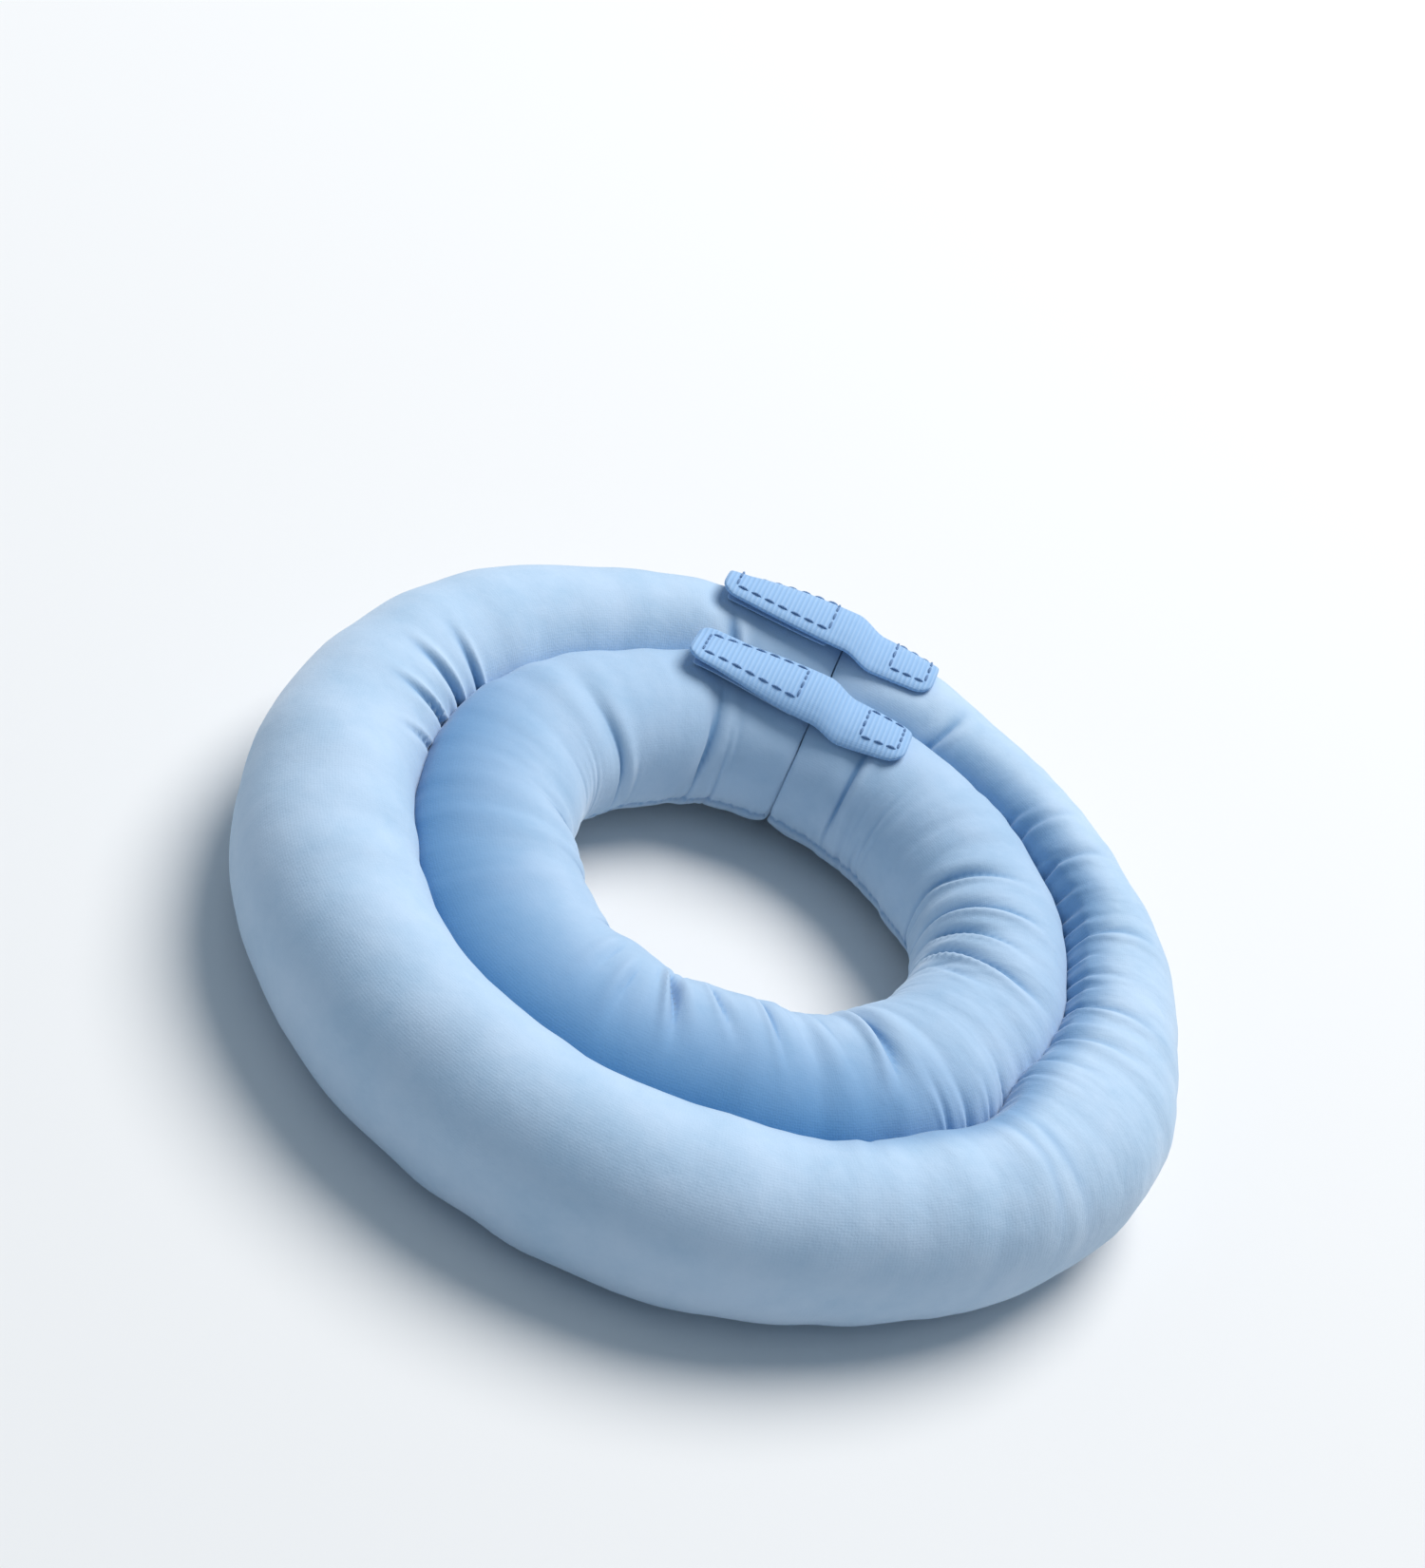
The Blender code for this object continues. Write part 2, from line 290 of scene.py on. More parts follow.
def make_camera():
    data = bpy.data.cameras.new("camera")
    data.lens = CAMERA_LENS
    data.sensor_width = 36.0
    data.shift_x, data.shift_y = CAMERA_SHIFT
    data.clip_start = 0.01
    camera = bpy.data.objects.new("camera", data)
    bpy.context.collection.objects.link(camera)
    tilt = math.radians(CAMERA_ELEVATION)
    back = Vector((0.0, -math.cos(tilt), math.sin(tilt)))
    camera.location = CAMERA_TARGET + back * CAMERA_DISTANCE
    aim = back.to_track_quat("Z", "Y").to_matrix()
    roll = Matrix.Rotation(math.radians(CAMERA_ROLL), 3, "Z")
    camera.rotation_euler = (aim @ roll).to_euler()
    bpy.context.scene.camera = camera


def make_lamp(name, location, size, power, colour):
    data = bpy.data.lights.new(name, "AREA")
    data.shape = "DISK"
    data.size = size
    data.energy = power
    data.color = colour
    lamp = bpy.data.objects.new(name, data)
    bpy.context.collection.objects.link(lamp)
    lamp.location = location
    aim = Vector(location) - CAMERA_TARGET
    lamp.rotation_euler = aim.to_track_quat("Z", "Y").to_euler()
    lamp.visible_camera = False


def make_world():
    """Pale blue light from all round, with a white backdrop where the camera looks past the floor."""
    world = bpy.data.worlds.new("studio")
    world.use_nodes = True
    tree = world.node_tree
    sky = tree.nodes["Background"]
    sky.inputs["Color"].default_value = SKY_COLOUR
    sky.inputs["Strength"].default_value = SKY_STRENGTH
    backdrop = tree.nodes.new("ShaderNodeBackground")
    backdrop.inputs["Color"].default_value = BACKDROP_COLOUR
    seen = tree.nodes.new("ShaderNodeLightPath")
    either = tree.nodes.new("ShaderNodeMixShader")
    tree.links.new(seen.outputs["Is Camera Ray"], either.inputs["Fac"])
    tree.links.new(sky.outputs["Background"], either.inputs[1])
    tree.links.new(backdrop.outputs["Background"], either.inputs[2])
    tree.links.new(either.outputs["Shader"], tree.nodes["World Output"].inputs["Surface"])
    bpy.context.scene.world = world


def make_floor():
    """Pale surface that the collar lies on."""
    half = FLOOR_HALF
    outline = ((-half, -half), (half, -half), (half, half), (-half, half))
    corners = [(x, y, FLOOR_LEVEL) for x, y in outline]
    mesh = bpy.data.meshes.new("floor")
    mesh.from_pydata(corners, [], [(0, 1, 2, 3)])
    floor = bpy.data.objects.new("floor", mesh)
    bpy.context.collection.objects.link(floor)
    material = bpy.data.materials.new("floor")
    material.use_nodes = True
    shader = material.node_tree.nodes["Principled BSDF"]
    shader.inputs["Base Color"].default_value = FLOOR_COLOUR
    shader.inputs["Roughness"].default_value = 0.9
    mesh.materials.append(material)


def make_studio():
    bpy.context.scene.view_settings.view_transform = "Standard"
    make_world()
    for lamp in LAMPS:
        make_lamp(*lamp)
    make_floor()


# Materials ------------------------


class Shader:
    """A Principled material and short ways to add nodes to it; lengths in metres."""

    def __init__(self, name, colour, roughness, sheen):
        self.material = bpy.data.materials.new(name)
        self.material.use_nodes = True
        self.tree = self.material.node_tree
        self.bsdf = self.tree.nodes["Principled BSDF"]
        self.normal = None
        self.fill(self.bsdf, {"Base Color": (*colour, 1), "Roughness": roughness, "Sheen Weight": sheen})
        self.fill(self.bsdf, {"Sheen Roughness": 0.5, "Specular IOR Level": 0.25})

    def put(self, value, socket):
        if hasattr(value, "links") or hasattr(value, "is_output"):
            self.tree.links.new(value, socket)
        else:
            socket.default_value = value

    def fill(self, node, inputs):
        for name, value in inputs.items():
            self.put(value, node.inputs[name])

    def node(self, kind, inputs):
        """New node with its inputs set or linked."""
        node = self.tree.nodes.new(f"ShaderNode{kind}")
        self.fill(node, inputs)
        return node

    def attribute(self, name, output):
        node = self.node("Attribute", {})
        node.attribute_name = name
        return node.outputs[output]

    def noise(self, vector, size, detail=2.0, roughness=0.5):
        """Noise whose blotches are about `size` metres."""
        inputs = {"Vector": vector, "Scale": 1 / size, "Detail": detail, "Roughness": roughness}
        return self.node("TexNoise", inputs).outputs["Fac"]

    def stretched(self, vector, lengths):
        """The same place measured in units of `lengths`, so that a noise of size 1 is drawn out."""
        node = self.node("VectorMath", {0: vector, 1: lengths})
        node.operation = "DIVIDE"
        return node.outputs["Vector"]

    def bands(self, vector, direction, period, distortion=0.0):
        """Ribs along one axis, `period` metres apart."""
        inputs = {"Vector": vector, "Scale": math.pi / (10 * period), "Distortion": distortion}
        node = self.node("TexWave", inputs)
        node.bands_direction = direction
        return node.outputs["Fac"]

    def math(self, operation, a, b):
        node = self.node("Math", {0: a, 1: b})
        node.operation = operation
        return node.outputs[0]

    def spread(self, value, low, high, to_low, to_high):
        inputs = {"Value": value, "From Min": low, "From Max": high, "To Min": to_low, "To Max": to_high}
        return self.node("MapRange", inputs).outputs["Result"]

    def mix(self, factor, a, b):
        node = self.node("Mix", {})
        node.data_type = "RGBA"
        self.put(factor, node.inputs["Factor"])
        sockets = [s for s in node.inputs if s.type == "RGBA"]
        for value, socket in zip((a, b), sockets):
            self.put((*value, 1) if isinstance(value, tuple) else value, socket)
        return next(s for s in node.outputs if s.type == "RGBA")

    def colour(self, value):
        self.put(value, self.bsdf.inputs["Base Color"])

    def roughen(self, value):
        self.put(value, self.bsdf.inputs["Roughness"])

    def bump(self, height, strength, distance):
        """One more layer of relief over those before it."""
        inputs = {"Height": height, "Strength": strength, "Distance": distance}
        if self.normal is not None:
            inputs["Normal"] = self.normal
        self.normal = self.node("Bump", inputs).outputs["Normal"]
        self.put(self.normal, self.bsdf.inputs["Normal"])


# Colours, linear
COVER_BLUE = (0.42, 0.585, 0.76)
COVER_LIGHT = (0.505, 0.65, 0.815)
# Painted highlight for the folds' crests
COVER_PAINTED_HIGHLIGHT = (0.56, 0.70, 0.86)
# Painted shade for folds, the seam and the ring's shadowed sides
COVER_PAINTED_SHADE = (0.075, 0.245, 0.49)
STRAP_BLUE = (0.27, 0.46, 0.73)
TAPE_BLUE = (0.36, 0.55, 0.80)
THREAD_BLUE = (0.19, 0.33, 0.58)
LABEL_WHITE = (0.86, 0.87, 0.88)


def cover_material():
    """Brushed microfibre: soft blotches where the nap lies, fine fuzz and a faint weave under it, with
    painted shade in folds and beside the seam and painted highlights on crests.
    """
    cloth = Shader("brushed_cover", COVER_BLUE, 0.85, 0.30)
    rest = cloth.attribute("rest", "Vector")
    weave_at = cloth.attribute("cloth", "Vector")
    # Painted shade: the map deepens the blue in folds, beside the seam and on the ring's shadowed sides
    painted_shade = cloth.attribute("painted_shade", "Fac")
    painted_highlight = cloth.math("MULTIPLY", cloth.attribute("painted_highlight", "Fac"), 0.55)
    blotch = cloth.spread(cloth.noise(rest, 0.014, 5.0, 0.62), 0.36, 0.64, 0.0, 1.0)
    streak = cloth.spread(cloth.noise(rest, 0.0022, 5.0, 0.65), 0.35, 0.75, 0.0, 0.40)
    base = cloth.mix(blotch, COVER_BLUE, COVER_LIGHT)
    base = cloth.mix(streak, base, COVER_LIGHT)
    # Painted highlight: the folds' crests are lightened towards a brighter blue
    base = cloth.mix(painted_highlight, base, COVER_PAINTED_HIGHLIGHT)
    cloth.colour(cloth.mix(painted_shade, base, COVER_PAINTED_SHADE))
    cloth.roughen(cloth.spread(cloth.noise(rest, 0.004, 3.0), 0.3, 0.7, 0.78, 0.94))
    threads = [cloth.bands(weave_at, axis, 0.00042) for axis in "XY"]
    weave = cloth.math("ADD", *threads)
    cloth.bump(weave, 0.16, 0.00004)
    cloth.bump(cloth.noise(rest, 0.00045, 3.0, 0.65), 0.40, 0.00010)
    cloth.bump(cloth.noise(rest, 0.0035, 4.0, 0.6), 0.35, 0.00030)
    wrinkles = cloth.noise(cloth.stretched(weave_at, (0.0036, 0.0095, 0.0095)), 1.0, 2.0, 0.5)
    wrinkles = cloth.math("MULTIPLY", wrinkles, cloth.attribute("wrinkled", "Fac"))
    cloth.bump(wrinkles, 0.9, 0.0007)
    return cloth.material


def strap_material():
    """Ribbed grosgrain: cords across the strap, with painted shade between them and a painted highlight
    on their tops.
    """
    strap = Shader("ribbed_strap", STRAP_BLUE, 0.7, 0.15)
    rest = strap.attribute("rest", "Vector")
    ribs = strap.bands(rest, "X", 0.00085, 0.25)
    warp = strap.bands(rest, "Y", 0.00032)
    # Random tone, plus painted shade between the ribs and a painted highlight on their tops
    tone_and_rib_shade = strap.math("MULTIPLY", strap.noise(rest, 0.0012, 3.0), 0.35)
    tone_and_rib_shade = strap.math("ADD", tone_and_rib_shade, strap.math("MULTIPLY", ribs, 0.55))
    strap.colour(strap.mix(tone_and_rib_shade, STRAP_BLUE, TAPE_BLUE))
    strap.roughen(strap.spread(ribs, 0.0, 1.0, 0.85, 0.62))
    strap.bump(ribs, 0.8, 0.00012)
    strap.bump(warp, 0.4, 0.00004)
    return strap.material


def tape_material(name, light, dark, roughness, sheen):
    """Nylon tape: an even weave under the hooks or loops."""
    tape = Shader(name, light, roughness, sheen)
    rest = tape.attribute("rest", "Vector")
    fuzz = tape.noise(rest, 0.0005, 4.0, 0.7)
    tape.colour(tape.mix(tape.spread(fuzz, 0.35, 0.7, 0.0, 1.0), dark, light))
    weave = tape.math("MULTIPLY", tape.bands(rest, "X", 0.0007), tape.bands(rest, "Y", 0.0007))
    tape.bump(weave, 0.5, 0.00006)
    tape.bump(fuzz, 0.4, 0.00005)
    return tape.material


def thread_material():
    """Twisted polyester thread."""
    thread = Shader("sewing_thread", THREAD_BLUE, 0.55, 0.10)
    rest = thread.attribute("rest", "Vector")
    twist = thread.bands(rest, "DIAGONAL", 0.00022, 0.5)
    shade = tuple(0.7 * part for part in THREAD_BLUE)
    thread.colour(thread.mix(twist, shade, THREAD_BLUE))
    thread.bump(twist, 0.6, 0.00005)
    return thread.material


def label_material():
    """Blank satin ribbon."""
    label = Shader("satin_label", LABEL_WHITE, 0.45, 0.05)
    rest = label.attribute("rest", "Vector")
    weft = label.bands(rest, "Z", 0.00025)
    shade = tuple(0.93 * part for part in LABEL_WHITE)
    label.colour(label.mix(label.noise(rest, 0.002, 2.0), shade, LABEL_WHITE))
    label.bump(weft, 0.3, 0.00003)
    return label.material


# Meshes ---------------------------


def smooth(share):
    share = np.clip(share, 0, 1)
    return share * share * (3 - 2 * share)


def mesh_object(name, points, faces, material, closed=True):
    """Smooth piece of one material, whose points remember where they lie at rest."""
    points = np.asarray(points, float).reshape(-1, 3)
    mesh = bpy.data.meshes.new(name)
    mesh.from_pydata(points.tolist(), [], [[int(i) for i in face] for face in faces])
    if closed:
        shell = bmesh.new()
        shell.from_mesh(mesh)
        bmesh.ops.recalc_face_normals(shell, faces=shell.faces)
        shell.to_mesh(mesh)
        shell.free()
    mesh.shade_smooth()
    set_attribute(mesh, "rest", points)
    mesh.materials.append(material)
    piece = bpy.data.objects.new(name, mesh)
    bpy.context.collection.objects.link(piece)
    return piece


def set_attribute(mesh, name, values):
    values = np.asarray(values, np.float32)
    kind, field = ("FLOAT_VECTOR", "vector") if values.ndim > 1 else ("FLOAT", "value")
    attribute = mesh.attributes.new(name, kind, "POINT")
    attribute.data.foreach_set(field, values.ravel())


def loft(rows, capped=True):
    """Points and faces of the tube through rows of equal closed loops."""
    rows = np.asarray(rows)
    count, size = rows.shape[:2]
    index = np.arange(count * size).reshape(count, size)
    after = np.roll(index, -1, axis=1)
    faces = np.stack([index[:-1], after[:-1], after[1:], index[1:]], axis=2).reshape(-1, 4).tolist()
    if capped:
        faces += [index[0].tolist(), index[-1].tolist()]
    return rows.reshape(-1, 3), faces


def gather(parts):
    """Join separate bodies into one list of points and one of faces."""
    points = []
    faces = []
    total = 0
    for some_points, some_faces in parts:
        points.append(some_points)
        faces += [[i + total for i in face] for face in some_faces]
        total += len(some_points)
    return np.concatenate(points), faces


def strand(centres, radii, up, sides=6):
    """Tube along a few centres, each with its own radius; `up` lies across the tube."""
    centres = np.asarray(centres, float)
    along = np.gradient(centres, axis=0)
    along /= np.linalg.norm(along, axis=1, keepdims=True)
    side = np.cross(along, np.asarray(up, float))
    side /= np.linalg.norm(side, axis=1, keepdims=True)
    rise = np.cross(side, along)
    turn = np.linspace(0, 2 * np.pi, sides, endpoint=False)
    radii = np.asarray(radii, float)[:, None, None]
    rows = centres[:, None] + radii * (
        side[:, None] * np.cos(turn)[None, :, None] + rise[:, None] * np.sin(turn)[None, :, None]
    )
    return loft(rows)


def stitch(start, end, up, radius=THREAD_RADIUS):
    """One stitch: thread that rises from the cloth and dips back into it."""
    start, end, up = (np.asarray(v, float) for v in (start, end, up))
    share = np.array((0.0, 0.07, 0.25, 0.5, 0.75, 0.93, 1.0))
    lift = radius * (1.5 * np.sin(np.pi * share) ** 0.6 - 0.7)
    centres = start + share[:, None] * (end - start) + lift[:, None] * up
    radii = radius * (0.35 + 0.65 * np.sin(np.pi * share) ** 0.5)
    return strand(centres, radii, up)


def stitch_run(path, surface):
    """Stitches along straight legs of a path; surface gives the height at each point."""
    parts = []
    for (x0, y0), (x1, y1) in zip(path[:-1], path[1:]):
        length = math.hypot(x1 - x0, y1 - y0)
        count = max(1, round(length / STITCH_PITCH))
        for number in range(count):
            ends = []
            for hole in STITCH_HOLES:
                share = (number + hole) / count
                x = x0 + (x1 - x0) * share
                y = y0 + (y1 - y0) * share
                ends.append((x, y, surface(x, y)))
            parts.append(stitch(*ends, (0, 0, 1)))
    return parts


# Cover ----------------------------


def circle_radius(angles, centre, radius):
    """Distance from the origin to a circle, along each direction in radians."""
    along = np.cos(angles) * centre[0] + np.sin(angles) * centre[1]
    return along + np.sqrt(radius * radius - centre @ centre + along * along)


def angle_between(angles, degrees):
    """Signed difference in degrees between directions, from -180 to 180."""
    return (np.degrees(angles) - degrees + 180) % 360 - 180


def bump(angles, degrees, width):
    """Smooth hump of height 1 round one direction; width in degrees."""
    return np.exp(-((angle_between(angles, degrees) / width) ** 2))


def waves(angles, seed, counts, powers):
    """Sum of seeded waves round the ring, about -1 to 1."""
    rng = np.random.default_rng(seed)
    total = np.zeros_like(angles)
    for count, power in zip(counts, powers):
        total += power * np.sin(count * angles + rng.uniform(0, 2 * np.pi))
    return total


def along_ring(angles, stops):
    """Smooth closed line through a few stops: lengths in metres at each direction round the ring."""
    directions, shifts = zip(*stops)
    values = np.interp(np.degrees(angles), directions, shifts, period=360) * 0.001
    window = np.hanning(17)[1:-1]
    padded = np.concatenate([values[-8:-1], values, values[1:8]])
    return np.convolve(padded, window / window.sum(), "valid")


def seam_line(angles):
    """Radius of the seam between the rings, and how far the line above it leans outwards."""
    wander = along_ring(angles, CREASE_SHIFTS)
    seam = circle_radius(angles, SEAM_CENTRE, SEAM_RADIUS)
    seam = seam + SEAM_SHARE * wander
    seam = seam + SEAM_WANDER * waves(angles, 3, (7, 13, 19), (0.6, 0.5, 0.4))
    return seam, LEAN * np.cos(angles) + (1 - SEAM_SHARE) * wander


def base_section(angles):
    """Unwrinkled section of both rings at each direction, as radii and heights."""
    seam, lean = seam_line(angles)
    neck = circle_radius(angles, NECK_CENTRE, NECK_RADIUS)
    neck = neck + NECK_WANDER * waves(angles, 4, (5, 9, 14), (0.6, 0.5, 0.4))
    outer = OUTER_RADIUS - OUTER_INSET + OUTER_WANDER * waves(angles, 5, (3, 6, 11), (0.5, 0.5, 0.3))
    outer = outer + along_ring(angles, OUTER_SHIFTS)
    towards_nape = (1 + np.sin(angles)) / 2
    off_slit = np.abs(angle_between(angles, SLIT_DIRECTION))
    press = PRESS_DEPTH * smooth((PRESS_REACH - off_slit) / PRESS_FADE)
    inner_rise = INNER_RISE + NAPE_RISE * towards_nape**2 + INNER_TILT * np.cos(angles) - press
    outer_rise = OUTER_RISE - OUTER_TILT * np.cos(angles) - press
    rises = {
        ("outer", "face"): outer_rise,
        ("inner", "face"): inner_rise,
        ("outer", "back"): np.full_like(seam, OUTER_DEPTH),
        ("inner", "back"): np.full_like(seam, INNER_RISE),
    }
    turn = np.linspace(0, np.pi, LOBE_POINTS)
    parts = {}
    for word, side in (("face", 1), ("back", -1)):
        for ring, low, high in (("outer", seam - OVERLAP, outer), ("inner", neck, seam + OVERLAP)):
            middle = (low + high)[:, None] / 2
            half = (high - low)[:, None] / 2
            radius = middle + half * np.cos(turn)
            height = rises[ring, word][:, None] * np.sin(turn) ** ROLL_POWER
            share = height / OUTER_RISE
            divide = seam[:, None] + side * lean[:, None] * share
            touch = CREASE_HALF * (1 + 2 * share)
            if ring == "outer":
                radius = np.maximum(radius, divide + touch)
            else:
                radius = np.minimum(radius, divide - touch)
            parts[ring, word] = radius, MID_HEIGHT + side * height
    chain = (
        ("outer", "face", slice(None, None, -1)),
        ("outer", "back", slice(1, None)),
        ("inner", "back", slice(None)),
        ("inner", "face", slice(-2, None, -1)),
    )
    radii, heights = (
        np.concatenate([parts[ring, word][which][:, pick] for ring, word, pick in chain], axis=1)
        for which in (0, 1)
    )
    heights[:, [0, -1]] += SEAM_HALF
    heights[:, BACK_SEAM] -= SEAM_HALF
    return radii, heights


def crown(power):
    """Weight over each section: 0 at the seams and the rings' edges, 1 on the crests."""
    half_turn = np.sin(np.linspace(0, np.pi, LOBE_POINTS)) ** power
    return np.concatenate([half_turn, half_turn[1:], half_turn, half_turn[1:]])


def swells(angles, columns, rng, count, turns, across, fade):
    """Sum of seeded waves that run along and across the cover; `fade` weakens the short ones."""
    around = np.linspace(0, 2 * np.pi, columns, endpoint=False)
    total = np.zeros((len(angles), columns))
    for _ in range(count):
        along = rng.integers(*turns)
        over = rng.integers(*across)
        phase = rng.uniform(0, 2 * np.pi)
        total += np.sin(np.add.outer(along * angles, over * around) + phase) / (4 + along) ** fade
    return total / total.std()


def add_lumps(angles, rows):
    """Uneven stuffing: low lumps, and finer ripples that are strongest on the right."""
    rng = np.random.default_rng(8)
    lumps = swells(angles, rows.shape[1], rng, 60, (4, 44), (0, 6), 1)
    ripples = swells(angles, rows.shape[1], rng, 70, (26, 90), (0, 4), 0)
    uneven = 0.3 + 0.9 * bump(angles, 5, 55)[:, None]
    height = lumps * LUMP_HEIGHT + uneven * ripples * RIPPLE_HEIGHT
    return rows + surface_normals(rows) * (height * crown(0.7))[..., None]


def press_folds(angles, rows):
    """Press the lasting folds into the plump cover, each a valley with a ridge on either side."""
    reach = np.arange(round(1.25 * LAST))
    columns = {"outer": reach, "inner": rows.shape[1] - 1 - reach}
    radius = np.hypot(rows[..., 0], rows[..., 1])
    height = np.zeros(rows.shape[:2])
    for ring, start, near, end, far, bow, width, deep in FOLDS:
        pick = columns[ring]
        share = (reach / LAST - near) / (far - near)
        begins = smooth(share / FOLD_BEGINS + (near == 0))
        present = begins * smooth((1 - share) / FOLD_ENDS) * smooth(reach / LAST / FOLD_OFF_SEAM)
        centre = start + (end - start) * share + bow * 4 * share * (1 - share)
        spread = 0.6 + 0.7 * np.clip(share, 0, 1)
        aside = np.radians(angle_between(angles[:, None], centre)) * radius[:, pick] * 1000
        aside = aside / (width * spread * np.where(aside < 0, *FOLD_SIDES))
        valley = np.exp(-(np.abs(aside) ** 1.4))
        ridge = np.exp(-((aside + RIDGE_OFFSET) ** 2))
        ridge += FAR_RIDGE * np.exp(-((aside - RIDGE_OFFSET) ** 2))
        height[:, pick] += deep * 0.001 * present * (RIDGE_HEIGHT * ridge - valley)
    return rows + surface_normals(rows) * height[..., None]


def base_rows():
    """Directions round the ring from the slit, and the plump cover without and with its folds."""
    angles = np.linspace(math.radians(90), math.radians(-270), AROUND + 1)
    radii, heights = base_section(angles)
    from_end = np.minimum(np.abs(angles - angles[0]), np.abs(angles - angles[-1])) * SEAM_RADIUS
    taper = 1 - END_TAPER * np.exp(-((from_end / END_TAPER_REACH) ** 2))
    heights = MID_HEIGHT + (heights - MID_HEIGHT) * taper[:, None]
    parting = np.linspace(1, -1, AROUND + 1) * SLIT_END * np.maximum(0, np.sin(angles))
    x = radii * np.cos(angles)[:, None] + parting[:, None]
    y = radii * np.sin(angles)[:, None]
    even = add_lumps(angles, np.stack([x, y, heights], axis=2))
    plump = press_folds(angles, even)
    plump[..., 2] = np.maximum(plump[..., 2], 0.0)
    return angles, even, plump


def patchy(angles, seed):
    """Uneven spread of folds round the ring, from 0.15 to 1.65."""
    rng = np.random.default_rng(seed)
    knots = rng.uniform(0, 1, PATCHES + 1)
    at = (angles - angles[-1]) / (2 * np.pi) * PATCHES
    return 0.15 + 1.5 * np.interp(at, np.arange(PATCHES + 1), knots) ** 2


def surplus_map(angles, size):
    """Extra length of cloth round the ring, as a share, at each grid point."""
    index = np.arange(size)

    def near(centre, reach):
        gap = np.abs(index - centre)
        return np.exp(-((np.minimum(gap, size - gap) / (reach * LAST)) ** 2))

    def round_ring(base, *humps):
        return base + sum(power * bump(angles, where, width) for where, width, power in humps)

    on_outer = index <= 2 * LAST
    outer_groove = round_ring(0.008, (28, 26, 0.045), (170, 9, 0.10), (-10, 16, 0.05), (90, 30, 0.04))
    inner_groove = round_ring(0.006, (-28, 11, 0.11), (-55, 14, 0.015), (90, 30, 0.03), (30, 25, 0.01))
    neck_edge = round_ring(0.006, (18, 20, 0.018), (-72, 20, 0.02), (-102, 8, 0.03), (90, 35, 0.035))
    outer_edge = round_ring(0.015, (-20, 30, 0.03))
    total = np.outer(outer_groove, near(0.17 * LAST, 0.23) * on_outer)
    total += np.outer(inner_groove, near(size - 1 - 0.17 * LAST, 0.23) * ~on_outer)
    total += np.outer(neck_edge, near(3 * LAST + 2, 0.33))
    total += np.outer(outer_edge, near(LAST, 0.21))
    total += SURPLUS_ON_BACK * near(2 * LAST + 1, 0.29)
    return total * patchy(angles, 21)[:, None]


def relax_cloth(angles, base, steps):
    """Let the surplus cloth buckle over the stuffing: springs, pressure, bending and a soft bed."""
    count, size = base.shape[:2]
    rng = np.random.default_rng(11)
    hoop = np.linalg.norm(base[1:] - base[:-1], axis=2)
    surplus = surplus_map(angles, size)
    hoop = hoop * (1 + (surplus[1:] + surplus[:-1]) / 2)
    across = np.linalg.norm(np.roll(base, -1, axis=1) - base, axis=2) * ACROSS_SLACK
    free = np.ones((count, size, 1))
    free[:, [0, -1, *BACK_SEAM]] = 0
    free[[0, -1]] = 0
    normal = surface_normals(base)
    bed = STUFFING * (1 + CREST_FIRMNESS * crown(4)[None, :, None])
    noise = 0.7 * rng.normal(size=(count, 1)) + 1.4 * rng.normal(size=(count, size))
    for _ in range(4):
        noise[1:-1] = (noise[:-2] + 2 * noise[1:-1] + noise[2:]) / 4
        noise = (np.roll(noise, 1, 1) + 2 * noise + np.roll(noise, -1, 1)) / 4
    shape = base + normal * noise[..., None] * START_NOISE * free
    before = shape.copy()
    for step in range(steps):
        moving = shape + (shape - before) * DAMPING
        before = shape
        moved = moving - base
        moving = moving - BENDING * laplacian(laplacian(moved))
        depth = np.sum(moved * normal, axis=2, keepdims=True)
        moving = moving - bed * moved - STUFFING_IN * np.minimum(depth, 0) * normal
        if step % 10 == 0:
            push = surface_normals(moving) * PRESSURE
        moving = moving + push
        for _ in range(2):
            gap = moving[1:] - moving[:-1]
            length = np.linalg.norm(gap, axis=2)
            pull = gap * (0.5 * (length - hoop) / length)[..., None] * AROUND_STIFFNESS
            moving[:-1] += pull
            moving[1:] -= pull
            gap = np.roll(moving, -1, axis=1) - moving
            length = np.linalg.norm(gap, axis=2) + 1e-9
            pull = gap * (0.5 * (length - across) / length)[..., None] * ACROSS_STIFFNESS
            moving += pull - np.roll(pull, 1, axis=1)
        shape = base + (moving - base) * free
        shape[..., 2] = np.maximum(shape[..., 2], 0.0)
    return shape


def surface_normals(grid):
    """Outward normals of a grid of closed rows."""
    along = np.empty_like(grid)
    along[1:-1] = grid[2:] - grid[:-2]
    along[0] = grid[1] - grid[0]
    along[-1] = grid[-1] - grid[-2]
    across = np.roll(grid, -1, axis=1) - np.roll(grid, 1, axis=1)
    normal = np.cross(along, across)
    return normal / (np.linalg.norm(normal, axis=2, keepdims=True) + 1e-12)


def laplacian(grid):
    """How far each grid value lies from the mean of its neighbours."""
    result = (np.roll(grid, 1, axis=1) + np.roll(grid, -1, axis=1) - 2 * grid) * 0.25
    result[1:-1] += (grid[:-2] + grid[2:] - 2 * grid[1:-1]) * 0.25
    return result


def strap_middle(ring):
    """Middle of a strap across its width, from the CAD strap."""
    low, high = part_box(f"{ring}_strap")
    return (low[1] + high[1]) / 2


def strap_droop(ring, width, x, y):
    """How far a closure bends down at one place, to lie over the roll of its ring."""
    outwards = (np.hypot(x, y) - strap_middle(ring)) / (width / 2)
    inner_edge, outer_edge = STRAP_DROOPS[ring]
    return np.where(outwards < 0, inner_edge, outer_edge) * np.minimum(np.abs(outwards), 1.25) ** 2


